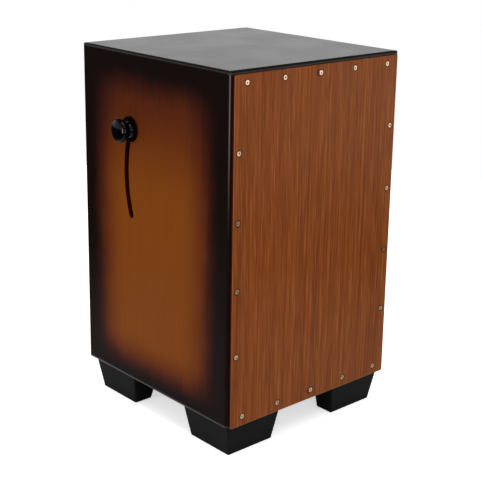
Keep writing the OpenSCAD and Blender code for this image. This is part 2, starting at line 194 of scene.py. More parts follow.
def place_on(tree: Tree, axis: int) -> Socket:
    """Reads how far along an axis the surface lies, in metres in the frame."""
    place = add_node(tree, "ShaderNodeTexCoord", output="Object")
    return add_node(tree, "ShaderNodeSeparateXYZ", {0: place}, output=axis)


def looks_along(tree: Tree, axis: int) -> Socket:
    """Reads how squarely the surface looks along an axis, from -1 to 1."""
    normal = add_node(tree, "ShaderNodeTexCoord", output="Normal")
    return add_node(tree, "ShaderNodeSeparateXYZ", {0: normal}, output=axis)


def nearest_gap(tree: Tree, spots: Sequence[tuple[float, float, float]]) -> Socket:
    """Measures how far the surface lies from the nearest of some spots, in metres.

    Args:
        tree: The material's node tree.
        spots: The spots, in metres in the frame.

    Returns:
        The distance's socket.
    """
    place = add_node(tree, "ShaderNodeTexCoord", output="Object")
    nearest = None
    for spot in spots:
        gap = add_node(tree, "ShaderNodeVectorMath", {0: place, 1: spot}, output="Value", operation="DISTANCE")
        if nearest is not None:
            gap = add_node(tree, "ShaderNodeMath", {0: nearest, 1: gap}, operation="MINIMUM")
        nearest = gap
    return nearest


# ---------------------------------------------------------------- finishes


@dataclass(frozen=True)
class Finish:
    """A finish: what a surface is made of and how it was made.

    Attributes:
        name: The material's name in the file.
        metallic: 1 for bare metal, otherwise 0.
        roughness: The even roughness, where a pattern doesn't drive it.
        ior: The index of refraction; a metal keeps the default.
        gloss: The specular level; 0.5 is the plain value for the index.
    """

    name: str = "plain"
    metallic: float = 0.0
    roughness: float = 0.5
    ior: float = 1.5
    gloss: float = 0.5

    def material(self) -> bpy.types.Material:
        """Makes the material once and gives it again each time it is asked for.

        Returns:
            The material with its nodes.
        """
        made = bpy.data.materials.get(self.name)
        if made is not None:
            return made
        made = bpy.data.materials.new(self.name)
        made.use_nodes = True
        tree = made.node_tree
        shader = tree.nodes["Principled BSDF"]
        shader.inputs["Metallic"].default_value = self.metallic
        shader.inputs["Roughness"].default_value = self.roughness
        if not self.metallic:
            shader.inputs["IOR"].default_value = self.ior
        shader.inputs["Specular IOR Level"].default_value = self.gloss
        self.paint(tree, shader)
        return made

    def paint(self, tree: Tree, shader: bpy.types.Node) -> None:
        """Joins this finish's patterns to the shader.

        Args:
            tree: The material's node tree.
            shader: Its Principled shader.
        """
        raise NotImplementedError

    def join(
        self, tree: Tree, shader: bpy.types.Node, colour: Socket, rough: Socket, height: Socket, depth_mm: float
    ) -> None:
        """Joins a colour, a roughness and a relief to the shader.

        Args:
            tree: The material's node tree.
            shader: Its Principled shader.
            colour: The colour's socket.
            rough: The roughness's socket.
            height: The relief's pattern.
            depth_mm: How far the relief's tops stand over its valleys.
        """
        tree.links.new(colour, shader.inputs["Base Color"])
        tree.links.new(rough, shader.inputs["Roughness"])
        normal = add_node(tree, "ShaderNodeBump", {"Height": height, "Distance": depth_mm * MM, "Strength": 1.0})
        tree.links.new(normal, shader.inputs["Normal"])


@dataclass(frozen=True)
class Lacquered(Finish):
    """A board with lacquer on its outer face and bare birch plywood on its inner one.

    Attributes:
        normal_axis: The axis that the board's faces look along.
        bare_from: Where the bare inner face begins on that axis, in metres.
        outward: 1 if the lacquered face looks along +axis, -1 if it looks the other way.
        grain: The way the face veneer's fibres run.
        bare_pale: The inner face's pale wood.
        bare_dark: The inner face's darker fibres.
    """

    normal_axis: int = Z
    bare_from: float = 0.0
    outward: int = 1
    grain: Grain = Grain.ALONG_Z
    bare_pale: str = "#D8BC92"
    bare_dark: str = "#BC9A6C"
    bare_rough: float = 0.72

    def bare_share(self, tree: Tree) -> Socket:
        """Gives 1 on the bare inner face and 0 elsewhere."""
        test = "LESS_THAN" if self.outward > 0 else "GREATER_THAN"
        limit = self.bare_from + self.outward * 0.05 * MM
        along = place_on(tree, self.normal_axis)
        return add_node(tree, "ShaderNodeMath", {0: along, 1: limit}, operation=test)

    def cut_share(self, tree: Tree) -> Socket:
        """Gives 1 where the surface is a cut through the board's thickness, and 0 on its faces."""
        along = looks_along(tree, self.normal_axis)
        size = add_node(tree, "ShaderNodeMath", {0: along}, operation="ABSOLUTE")
        return add_node(tree, "ShaderNodeMath", {0: size, 1: 0.5}, operation="LESS_THAN")

    def bare_colour(self, tree: Tree) -> Socket:
        """Draws the bare birch: pale wood with faint long fibres and cloudy patches."""
        fibre = streaks(tree, self.grain, 1.6, 90, 0.31)
        cloud = mottle(tree, 45, 2, 0.2)
        both = add_node(tree, "ShaderNodeMath", {0: fibre, 1: cloud}, **TIMES)
        share = add_node(tree, "ShaderNodeMapRange", {0: both, 1: 0.12, 2: 0.42}, **FADE)
        return add_node(tree, "ShaderNodeMix", {0: share, 6: self.bare_pale, 7: self.bare_dark}, **BLEND)

    def finish_board(
        self, tree: Tree, shader: bpy.types.Node, colour: Socket, rough: float, height: Socket
    ) -> None:
        """Joins the lacquered and the bare look to the shader.

        Args:
            tree: The material's node tree.
            shader: Its Principled shader.
            colour: The lacquered side's colour.
            rough: The lacquered side's roughness.
            height: The lacquered side's relief pattern.
        """
        bare = self.bare_share(tree)
        colour = add_node(tree, "ShaderNodeMix", {0: bare, 6: colour, 7: self.bare_colour(tree)}, **BLEND)
        haze = mottle(tree, 70, 2, 0.9)
        worn = add_node(
            tree, "ShaderNodeMapRange", {0: haze, 1: 0.3, 2: 0.7, 3: rough - 0.01, 4: rough + 0.02}, **FADE
        )
        mixed = add_node(tree, "ShaderNodeMix", {0: bare, 2: worn, 3: self.bare_rough}, data_type="FLOAT")
        self.join(tree, shader, colour, mixed, height, 0.02)


@dataclass(frozen=True)
class BlackLacquer(Lacquered):
    """Birch plywood stained black and sprayed with a satin lacquer.

    To the eye it is a deep, slightly warm black that turns to a soft grey sheen where the
    light grazes it, with the faintest lines of the grain below and a sprayed surface that
    isn't quite flat.
    """

    stain: str = "#16100E"
    pore: str = "#080706"
    sheen_rough: float = 0.26

    def paint(self, tree: Tree, shader: bpy.types.Node) -> None:
        """Joins the black stain, its pores and the sprayed surface to the shader."""
        pores = streaks(tree, self.grain, 0.9, 40, 0.4, 3)
        share = add_node(tree, "ShaderNodeMapRange", {0: pores, 1: 0.42, 2: 0.62}, **FADE)
        colour = add_node(tree, "ShaderNodeMix", {0: share, 6: self.stain, 7: self.pore}, **BLEND)
        self.finish_board(tree, shader, colour, self.sheen_rough, mottle(tree, 6, 1))


@dataclass(frozen=True)
class SunburstLacquer(Lacquered):
    """Plywood sprayed with a sunburst: amber brown in the middle, nearly black at the edges.

    To the eye the colour glows from the middle of the board and sinks through dark red into
    black towards every edge, faster at the bottom than at the top, because the dark coat is
    sprayed on last and freehand. The fibres show only where the coat is thin. A clear satin
    lacquer lies over it all.

    Attributes:
        across: The axis across the board, square to the upright.
        low: The board's lowest corner, in metres.
        high: The board's highest corner, in metres.
        side_fade: Where the dark coat thins out from a side edge: its start and end, in mm.
        bottom_fade: The same from the bottom edge.
        top_fade: The same from the top edge.
        crown_fade: A second, thinner coat that reaches further down from the top edge.
        crown_share: How much of the amber still shows under that second coat.
    """

    across: int = Y
    low: tuple[float, float, float] = (0.0, 0.0, 0.0)
    high: tuple[float, float, float] = (1.0, 1.0, 1.0)
    side_fade: tuple[float, float] = (16, 92)
    bottom_fade: tuple[float, float] = (4, 68)
    top_fade: tuple[float, float] = (14, 62)
    crown_fade: tuple[float, float] = (40, 190)
    crown_share: float = 0.3
    edge: str = "#100706"
    rim: str = "#33120A"
    warm: str = "#52220A"
    amber: str = "#703908"
    fibre_dark: str = "#66310A"
    cut: str = "#330A02"
    # a painted highlight: the paler grey of the rounded outer edges near the top
    roundover_highlight: str = "#5C5352"
    sheen_rough: float = 0.42

    def burst(self, tree: Tree) -> Socket:
        """Works out how thin the dark coat is, from 0 at the edges to 1 in the middle."""
        wander = 0.012  # how far the freehand spraying wanders, in metres
        place = add_node(tree, "ShaderNodeTexCoord", output="Object")
        drift = add_node(tree, "ShaderNodeTexNoise", {"Scale": per_metre(90)}, output="Color")
        moved = add_node(tree, "ShaderNodeMix", {0: wander, 6: place, 7: drift}, blend_type="ADD", **BLEND)
        side = add_node(tree, "ShaderNodeSeparateXYZ", {0: moved}, output=self.across)
        up = add_node(tree, "ShaderNodeSeparateXYZ", {0: moved}, output=Z)
        # the noise is 0.5 on average, so every place has moved by half of the wander
        low = [c + wander / 2 for c in self.low]
        high = [c + wander / 2 for c in self.high]
        fades = (
            (side, low[self.across], 1, self.side_fade, 0.0),
            (side, high[self.across], -1, self.side_fade, 0.0),
            (up, low[Z], 1, self.bottom_fade, 0.0),
            (up, high[Z], -1, self.top_fade, 0.0),
            (up, high[Z], -1, self.crown_fade, self.crown_share),
        )
        thin = None
        for where, edge, inward, (start, end), least in fades:
            share = add_node(
                tree,
                "ShaderNodeMapRange",
                {0: where, 1: edge + inward * start * MM, 2: edge + inward * end * MM, 3: least, 4: 1.0},
                **FADE,
            )
            thin = share if thin is None else add_node(tree, "ShaderNodeMath", {0: thin, 1: share}, **TIMES)
        return thin

    def roundover_highlight_share(self, tree: Tree) -> Socket:
        """Gives 1 on the rounded outer edges near the top, where a highlight is painted paler into the colour."""
        along = looks_along(tree, self.normal_axis)
        squarely = add_node(tree, "ShaderNodeMath", {0: along}, operation="ABSOLUTE")
        rising = add_node(tree, "ShaderNodeMapRange", {0: squarely, 1: 0.45, 2: 0.7}, **FADE)
        falling = add_node(tree, "ShaderNodeMapRange", {0: squarely, 1: 0.95, 2: 0.75}, **FADE)
        upper = {1: self.high[Z] - 210 * MM, 2: self.high[Z] - 30 * MM}
        height = add_node(tree, "ShaderNodeMapRange", {0: place_on(tree, Z), **upper}, **FADE)
        both = add_node(tree, "ShaderNodeMath", {0: rising, 1: falling}, **TIMES)
        return add_node(tree, "ShaderNodeMath", {0: both, 1: height}, **TIMES)

    def paint(self, tree: Tree, shader: bpy.types.Node) -> None:
        """Joins the sprayed colours, the fibres and the lacquer's surface to the shader."""
        open_coat = self.burst(tree)
        sprayed = add_node(
            tree,
            "ShaderNodeValToRGB",
            {0: open_coat},
            stops=((0.0, self.edge), (0.16, self.rim), (0.42, self.warm), (1.0, self.amber)),
        )
        fibre = streaks(tree, self.grain, 3.2, 220, 0.17, 4)
        fibre = add_node(tree, "ShaderNodeMapRange", {0: fibre, 1: 0.45, 2: 0.68, 4: 0.55}, **FADE)
        shown = add_node(tree, "ShaderNodeMath", {0: fibre, 1: open_coat}, **TIMES)
        colour = add_node(tree, "ShaderNodeMix", {0: shown, 6: sprayed, 7: self.fibre_dark}, **BLEND)
        # paints a highlight paler onto the rounded outer edges near the top
        colour = add_node(tree, "ShaderNodeMix", {0: self.roundover_highlight_share(tree), 6: colour, 7: self.roundover_highlight}, **BLEND)
        inside = add_node(tree, "ShaderNodeMapRange", {0: open_coat, 1: 0.1, 2: 0.5}, **FADE)
        cut = add_node(tree, "ShaderNodeMath", {0: self.cut_share(tree), 1: inside}, **TIMES)
        colour = add_node(tree, "ShaderNodeMix", {0: cut, 6: colour, 7: self.cut}, **BLEND)
        self.finish_board(tree, shader, colour, self.sheen_rough, streaks(tree, self.grain, 0.9, 40, 0.6))


@dataclass(frozen=True)
class StripedVeneer(Finish):
    """Walnut-stained straight-grained veneer on the struck plate, under a satin lacquer.

    To the eye it is a warm brown full of fine upright lines: soft bands, narrow dark streaks,
    short dark pores and a few pale ones. A paler strip is painted along the plate's sides and
    bottom as a highlight, stronger higher up, and dark rings are painted round the screws as the
    shade in their countersinks. The plate's cut edges are stained a dark red brown.

    Attributes:
        low: The plate's lowest corner, in metres.
        high: The plate's highest corner, in metres.
        screws: The middles of the screw heads, in metres.
    """

    low: tuple[float, float, float] = (0.0, 0.0, 0.0)
    high: tuple[float, float, float] = (1.0, 1.0, 1.0)
    screws: tuple[tuple[float, float, float], ...] = ()
    band_dark: str = "#652E0A"
    band_mid: str = "#75390D"
    band_pale: str = "#844613"
    streak: str = "#50240A"
    fleck: str = "#98592C"
    # a painted highlight: the paler colour of the strip along the plate's sides and bottom
    arris_highlight: str = "#A87850"
    edge: str = "#3C1006"
    arris_mm: float = 0.5
    # painted shade: a dark ring round each screw's countersink
    ring_mm: float = 5.3
    countersink_shade_strength: float = 0.85
    sheen_rough: float = 0.33

    def paint(self, tree: Tree, shader: bpy.types.Node) -> None:
        """Joins the bands, streaks, pores and the worn arris to the shader."""
        along = Grain.ALONG_Z
        bands = streaks(tree, along, 5, 900, 0.11, 4)
        colour = add_node(
            tree,
            "ShaderNodeValToRGB",
            {0: bands},
            stops=((0.34, self.band_dark), (0.5, self.band_mid), (0.66, self.band_pale)),
        )
        # the layers of lines: width, length and seed in mm, detail, start, end, strength, colour
        layers = (
            (1.1, 260, 0.53, 2, 0.48, 0.66, 0.45, self.streak),
            (0.8, 45, 0.77, 2, 0.50, 0.66, 0.60, self.streak),
            (0.9, 70, 0.29, 2, 0.52, 0.70, 0.60, self.fleck),
        )
        for width, length, seed, detail, start, end, strength, stain in layers:
            lines = streaks(tree, along, width, length, seed, detail)
            share = add_node(tree, "ShaderNodeMapRange", {0: lines, 1: start, 2: end, 4: strength}, **FADE)
            colour = add_node(tree, "ShaderNodeMix", {0: share, 6: colour, 7: stain}, **BLEND)
        # paints a highlight paler along the plate's sides and bottom
        colour = add_node(tree, "ShaderNodeMix", {0: self.arris_highlight_share(tree), 6: colour, 7: self.arris_highlight}, **BLEND)
        # paints shade dark round each screw's countersink
        colour = add_node(tree, "ShaderNodeMix", {0: self.countersink_shade_share(tree), 6: colour, 7: self.edge}, **BLEND)
        colour = add_node(tree, "ShaderNodeMix", {0: self.edge_share(tree), 6: colour, 7: self.edge}, **BLEND)
        pores = streaks(tree, along, 1.2, 55, 0.77, 3)
        rough = add_node(
            tree,
            "ShaderNodeMapRange",
            {0: pores, 1: 0.4, 2: 0.7, 3: self.sheen_rough - 0.04, 4: self.sheen_rough + 0.1},
            **FADE,
        )
        self.join(tree, shader, colour, rough, pores, 0.03)

    def arris_highlight_share(self, tree: Tree) -> Socket:
        """Gives up to 0.8 on the strip along the plate's sides and bottom where a highlight is painted paler,
        more at the top.
        """
        width = self.arris_mm * MM
        side = add_node(tree, "ShaderNodeMath", {0: place_on(tree, X)}, operation="ABSOLUTE")
        edges = []
        for where, edge, inward in ((side, self.high[X], -1), (place_on(tree, Z), self.low[Z], 1)):
            limits = {1: edge + inward * 1.6 * width, 2: edge + inward * 0.6 * width}
            edges.append(add_node(tree, "ShaderNodeMapRange", {0: where, **limits}, **FADE))
        strip = add_node(tree, "ShaderNodeMath", {0: edges[0], 1: edges[1]}, operation="MAXIMUM")
        # the painted highlight grows stronger towards the top
        worn = add_node(
            tree,
            "ShaderNodeMapRange",
            {0: place_on(tree, Z), 1: self.low[Z], 2: self.high[Z], 3: 0.35, 4: 0.8},
        )
        return add_node(tree, "ShaderNodeMath", {0: strip, 1: worn}, **TIMES)

    def countersink_shade_share(self, tree: Tree) -> Socket:
        """Gives 1 at the rim of each screw's countersink, where shade is painted dark into the colour."""
        gap = nearest_gap(tree, self.screws)
        limits = {1: self.ring_mm * MM, 2: (self.ring_mm - 1.3) * MM, 4: self.countersink_shade_strength}
        return add_node(tree, "ShaderNodeMapRange", {0: gap, **limits}, **FADE)

    def edge_share(self, tree: Tree) -> Socket:
        """Gives 1 on the plate's cut edges, in its screw holes and on its back."""
        front = looks_along(tree, Y)
        return add_node(tree, "ShaderNodeMath", {0: front, 1: -0.5}, operation="GREATER_THAN")


@dataclass(frozen=True)
class PlanedWood(Finish):
    """Bare timber, planed and sanded, with no coat over it.

    To the eye it is a dry, matt surface: growth rings as soft bands along the grain, and the
    short dark flecks that beech has.
    """

    grain: Grain = Grain.ALONG_Z
    pale: str = "#DBB985"
    ring: str = "#BF9057"
    ring_mm: float = 5.0
    fleck: str = "#9B7245"
    fleck_share: float = 0.2

    def paint(self, tree: Tree, shader: bpy.types.Node) -> None:
        """Joins the rings, the flecks and the sanded surface to the shader."""
        rings = streaks(tree, self.grain, self.ring_mm, 300, 0.23, 2)
        share = add_node(tree, "ShaderNodeMapRange", {0: rings, 1: 0.4, 2: 0.62}, **FADE)
        colour = add_node(tree, "ShaderNodeMix", {0: share, 6: self.pale, 7: self.ring}, **BLEND)
        flecks = streaks(tree, self.grain, 0.7, 6, 0.61)
        share = add_node(tree, "ShaderNodeMapRange", {0: flecks, 1: 0.6, 2: 0.72, 4: self.fleck_share}, **FADE)
        colour = add_node(tree, "ShaderNodeMix", {0: share, 6: colour, 7: self.fleck}, **BLEND)
        limits = {1: 0.3, 2: 0.7, 3: self.roughness - 0.05, 4: self.roughness + 0.05}
        rough = add_node(tree, "ShaderNodeMapRange", {0: rings, **limits}, **FADE)
        self.join(tree, shader, colour, rough, flecks, 0.04)


@dataclass(frozen=True)
class PlatedSteel(Finish):
    """Turned or stamped steel with a plated skin.

    To the eye it is a bright metal, with faint tarnish in patches and fine handling scratches
    that break up its highlights.
    """

    bright: str = "#C8C9CB"
    tarnish: str = "#8E8D8B"
    patch_mm: float = 3.0
    scratch_mm: float = 0.5

    def skin(self, tree: Tree, patches: Socket) -> Socket:
        """Colours the plating, brighter and more tarnished in patches."""
        share = add_node(tree, "ShaderNodeMapRange", {0: patches, 1: 0.4, 2: 0.75}, **FADE)
        return add_node(tree, "ShaderNodeMix", {0: share, 6: self.bright, 7: self.tarnish}, **BLEND)

    def paint(self, tree: Tree, shader: bpy.types.Node) -> None:
        """Joins the tarnish and the scratches to the shader."""
        patches = mottle(tree, self.patch_mm, 3)
        limits = {1: 0.3, 2: 0.7, 3: self.roughness - 0.05, 4: self.roughness + 0.12}
        rough = add_node(tree, "ShaderNodeMapRange", {0: patches, **limits}, **FADE)
        scratches = streaks(tree, Grain.ALONG_X, self.scratch_mm, 6)
        self.join(tree, shader, self.skin(tree, patches), rough, scratches, 0.01)


@dataclass(frozen=True)
class ScrewHead(PlatedSteel):
    """A nickel-plated screw head, with shade painted dark into its driver recess and round its rim.

    To the eye each head is a bright warm ring between a dark recess and a dark rim.

    Attributes:
        middles: The middles of the heads, in metres.
        ring_mm: The bright ring's inner and outer radius.
    """

    middles: tuple[tuple[float, float, float], ...] = ()
    ring_mm: tuple[float, float] = (1.2, 2.7)
    # painted shade in each head's driver recess and round its rim
    head_shade: str = "#2A1A10"

    def skin(self, tree: Tree, patches: Socket) -> Socket:
        """Colours the plating, and paints shade dark into the recess and round the rim of each head."""
        skin = PlatedSteel.skin(self, tree, patches)
        gap = nearest_gap(tree, self.middles)
        inner, outer = (r * MM for r in self.ring_mm)
        soft = 0.4 * MM
        hole = add_node(tree, "ShaderNodeMapRange", {0: gap, 1: inner, 2: inner - soft}, **FADE)
        rim = add_node(tree, "ShaderNodeMapRange", {0: gap, 1: outer, 2: outer + soft, 4: 0.8}, **FADE)
        dark = add_node(tree, "ShaderNodeMath", {0: hole, 1: rim}, operation="MAXIMUM")
        # paints shade dark into each head's recess and round its rim
        return add_node(tree, "ShaderNodeMix", {0: dark, 6: skin, 7: self.head_shade}, **BLEND)


@dataclass(frozen=True)
class Moulded(Finish):
    """Injection-moulded plastic: plain through and through, with the mould's surface on it.

    To the eye it is one even colour; how fine the mould's texture is decides whether it is a
    mirror-like knob or a dull foot.
    """

    colour: str = "#101112"
    scuff: str = "#1B1C1D"
    texture_mm: float = 0.6
    depth_mm: float = 0.05

    def paint(self, tree: Tree, shader: bpy.types.Node) -> None:
        """Joins the faint scuffs and the mould's texture to the shader."""
        scuffs = mottle(tree, 14, 4, 0.5)
        share = add_node(tree, "ShaderNodeMapRange", {0: scuffs, 1: 0.45, 2: 0.8}, **FADE)
        colour = add_node(tree, "ShaderNodeMix", {0: share, 6: self.colour, 7: self.scuff}, **BLEND)
        limits = {1: 0.3, 2: 0.7, 3: self.roughness, 4: self.roughness + 0.05}
        rough = add_node(tree, "ShaderNodeMapRange", {0: scuffs, **limits}, **FADE)
        self.join(tree, shader, colour, rough, mottle(tree, self.texture_mm), self.depth_mm)


@dataclass(frozen=True)
class WoolFelt(Finish):
    """Pressed wool felt, punched into a ring.

    To the eye it is a soft matt black with no highlight, its edge blurred by loose fibres. The
    fibres are 0.02 mm thick in truth, and are drawn at 0.4 mm so that they show.
    """

    colour: str = "#050505"
    fibre: str = "#0D0C0C"
    fibre_mm: float = 0.4

    def paint(self, tree: Tree, shader: bpy.types.Node) -> None:
        """Joins the tangled fibres to the shader."""
        tangle = mottle(tree, self.fibre_mm, 4)
        share = add_node(tree, "ShaderNodeMapRange", {0: tangle, 1: 0.45, 2: 0.7}, **FADE)
        colour = add_node(tree, "ShaderNodeMix", {0: share, 6: self.colour, 7: self.fibre}, **BLEND)
        limits = {1: 0.3, 2: 0.7, 3: self.roughness - 0.05, 4: 1.0}
        rough = add_node(tree, "ShaderNodeMapRange", {0: tangle, **limits}, **FADE)
        self.join(tree, shader, colour, rough, tangle, 0.3)


# To the eye: bright, slightly golden metal, as nickel looks beside zinc.
NICKEL = {"metallic": 1.0, "roughness": 0.26, "bright": "#CDB596", "tarnish": "#8C7156"}
# To the eye: a plain bluish grey metal with a dull bloom.
ZINC_STEEL = PlatedSteel(name="Zinc-plated steel, stamped and turned", metallic=1.0, roughness=0.36)
# To the eye: bright thin lines with a spark on every turn.
SPRING_WIRE = PlatedSteel(
    name="Spring steel wire, drawn and coiled",
    metallic=1.0,
    roughness=0.24,
    bright="#C9CCCF",
    tarnish="#9EA0A2",
)
# To the eye: yellow metal with browner patches.
BRASS = PlatedSteel(
    name="Brass, turned and knurled",
    metallic=1.0,
    roughness=0.28,
    bright="#C9A65A",
    tarnish="#8C6E36",
)
# To the eye: a dull, slightly cold black with a fine pebbled surface.
FOOT_PLASTIC = Moulded(
    name="ABS plastic, moulded with a spark texture",
    roughness=0.55,
    gloss=0.06,
    colour="#0C0D0D",
    scuff="#131414",
    texture_mm=0.8,
    depth_mm=0.06,
)
# To the eye: a wet-looking black that shows nothing but its highlights.
KNOB_PLASTIC = Moulded(
    name="Phenolic plastic, moulded and polished",
    roughness=0.07,
    ior=1.55,
    gloss=0.11,
    colour="#020202",
    scuff="#060606",
    texture_mm=6,
    depth_mm=0.002,
)
# To the eye: a milky off-white that is a little shiny.
NYLON = Moulded(
    name="Nylon, turned",
    roughness=0.42,
    ior=1.53,
    colour="#E2DED2",
    scuff="#CFCABB",
    texture_mm=0.5,
    depth_mm=0.02,
)
# To the eye: the softest black on the drum, without any highlight.
BLACK_FELT = WoolFelt(name="Wool felt, pressed and punched", roughness=0.95, gloss=0.0)
# To the eye: pinkish pale wood with short brown flecks.
BEECH = PlanedWood(
    name="Beech, turned and sanded",
    grain=Grain.ALONG_X,
    roughness=0.62,
    pale="#D8B084",
    ring="#C4966A",
    fleck="#8E6239",
    fleck_share=0.7,
)


def pine(grain: Grain) -> PlanedWood:
    """Gives planed pine for a batten whose fibres run along grain."""
    return PlanedWood(name=f"Pine, planed, grain {grain.name[-1]}", grain=grain, roughness=0.68)


# ---------------------------------------------------------------- meshes


def dress(node: str, finish: Finish) -> None:
    """Gives a node of the frame its finish.

    Args:
        node: The node's name.
        finish: What it is made of.
    """
    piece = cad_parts[node]
    piece.data.materials.clear()
    piece.data.materials.append(finish.material())
    log.info("dressed %s: %s", node, finish.name)


def new_piece(name: str, shape: Shape, finish: Finish, body: str, smooth: bool = True) -> bpy.types.Object:
    """Makes a piece from its points and faces and lets it ride on a body.

    Args:
        name: The piece's name.
        shape: Its points, in metres in the frame, and its faces.
        finish: What it is made of.
        body: The body that it moves with.
        smooth: True if its faces are shaded as one round surface.

    Returns:
        The new object.
    """
    mesh = bpy.data.meshes.new(name)
    mesh.from_pydata([tuple(p) for p in shape[0]], [], shape[1])
    mesh.validate()
    mesh.update()
    for face in mesh.polygons:
        face.use_smooth = smooth
    mesh.materials.append(finish.material())
    piece = bpy.data.objects.new(name, mesh)
    bpy.context.scene.collection.objects.link(piece)
    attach(piece, body)
    log.info("built %s: %d faces, %s", name, len(mesh.polygons), finish.name)
    return piece


def swept(line: Sequence[Vector], radius: float, sides: int) -> Shape:
    """Sweeps a round section along a line, with both ends closed.

    Args:
        line: The points that the section's middle follows.
        radius: The section's radius.
        sides: How many corners the section has.

    Returns:
        The tube's points and faces.
    """
    points: list[Vector] = []
    faces: list[tuple[int, ...]] = []
    turned = Vector((1.0, 0.0, 0.0))
    for i, spot in enumerate(line):
        ahead = (line[min(i + 1, len(line) - 1)] - line[max(i - 1, 0)]).normalized()
        turned = (turned - ahead * turned.dot(ahead)).normalized()
        other = ahead.cross(turned)
        for k in range(sides):
            a = math.tau * k / sides
            points.append(spot + radius * (math.cos(a) * turned + math.sin(a) * other))
    for i in range(len(line) - 1):
        for k in range(sides):
            a, b = i * sides + k, i * sides + (k + 1) % sides
            faces.append((a, b, b + sides, a + sides))
    faces.append(tuple(reversed(range(sides))))
    faces.append(tuple(range(len(points) - sides, len(points))))
    return points, faces


def joined(shapes: Sequence[Shape]) -> Shape:
    """Puts several shapes into one list of points and one of faces."""
    points: list[Vector] = []
    faces: list[tuple[int, ...]] = []
    for more, their_faces in shapes:
        start = len(points)
        points += more
        faces += [tuple(i + start for i in face) for face in their_faces]
    return points, faces


# ---------------------------------------------------------------- the box


@dataclass
class Case:
    """The box itself: five boards, the tapa, its battens and screws, and the four feet."""

    left_grain: Grain = Grain.ALONG_Z
    battens_upright: tuple[str, ...] = ("front_stile_left", "front_stile_right")
    battens_level: tuple[str, ...] = ("front_rail_top", "front_rail_bottom")
    feet: tuple[str, ...] = ("foot_front_left", "foot_front_right", "foot_rear_left", "foot_rear_right")
    head_mm: float = 7.0

    def dress_black_boards(self) -> None:
        """Lacquers the seat and the base black outside and leaves them bare inside."""
        for node, outward in (("seat_panel", 1), ("base_panel", -1)):
            low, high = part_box(node)
            dress(
                node,
                BlackLacquer(
                    name=f"Birch plywood, stained black and satin lacquered, {node}",
                    gloss=0.235,
                    normal_axis=Z,
                    bare_from=low.z if outward > 0 else high.z,
                    outward=outward,
                    grain=Grain.ALONG_X,
                ),
            )

    def dress_sunburst_boards(self) -> None:
        """Sprays the sunburst on both sides and on the rear panel."""
        boards = (
            ("left_side_panel", X, -1, Y),
            ("right_side_panel", X, 1, Y),
            ("rear_panel", Y, 1, X),
        )
        for node, normal_axis, outward, across in boards:
            low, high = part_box(node)
            dress(
                node,
                SunburstLacquer(
                    name=f"Birch plywood, sunburst sprayed and satin lacquered, {node}",
                    gloss=0.035,
                    normal_axis=normal_axis,
                    bare_from=(low if outward > 0 else high)[normal_axis],
                    outward=outward,
                    grain=self.left_grain,
                    across=across,
                    low=tuple(low),
                    high=tuple(high),
                ),
            )

    def screw_middles(self) -> tuple[tuple[float, float, float], ...]:
        """Finds the middles of the tapa screws' heads, in metres."""
        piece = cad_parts["tapa_screws"]
        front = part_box("tapa_screws")[0].y
        heads: list[list[Vector]] = []
        for corner in piece.data.vertices:
            if corner.co.y > front + 0.01 * MM:
                continue
            near = [h for h in heads if (h[0] - corner.co).length < self.head_mm * MM]
            if near:
                near[0].append(corner.co)
            else:
                heads.append([corner.co])
        middles = []
        for head in heads:
            side, up = [c.x for c in head], [c.z for c in head]
            middles.append(((min(side) + max(side)) / 2, front, (min(up) + max(up)) / 2))
        return tuple(middles)

    def dress_tapa(self) -> None:
        """Veneers the struck plate and plates its screws."""
        low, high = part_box("tapa")
        dress(
            "tapa",
            StripedVeneer(
                name="Walnut-stained veneer on plywood, sanded and satin lacquered",
                gloss=0.085,
                low=tuple(low),
                high=tuple(high),
                screws=self.screw_middles(),
            ),
        )
        head = ScrewHead(name="Nickel-plated steel, cold headed", middles=self.screw_middles(), **NICKEL)
        dress("tapa_screws", head)

    def dress_battens(self) -> None:
        """Leaves the battens behind the tapa as bare pine."""
        for node in self.battens_upright:
            dress(node, pine(Grain.ALONG_Z))
        for node in self.battens_level:
            dress(node, pine(Grain.ALONG_X))

    def dress_feet(self) -> None:
        """Gives the feet their moulded plastic and their screws a zinc skin."""
        for node in self.feet:
            dress(node, FOOT_PLASTIC)
        dress("foot_screws", ZINC_STEEL)

    def build(self) -> None:
        """Dresses every piece of the box."""
        self.dress_black_boards()
        self.dress_sunburst_boards()
        self.dress_tapa()
        self.dress_battens()
        self.dress_feet()


# ---------------------------------------------------------------- the snare


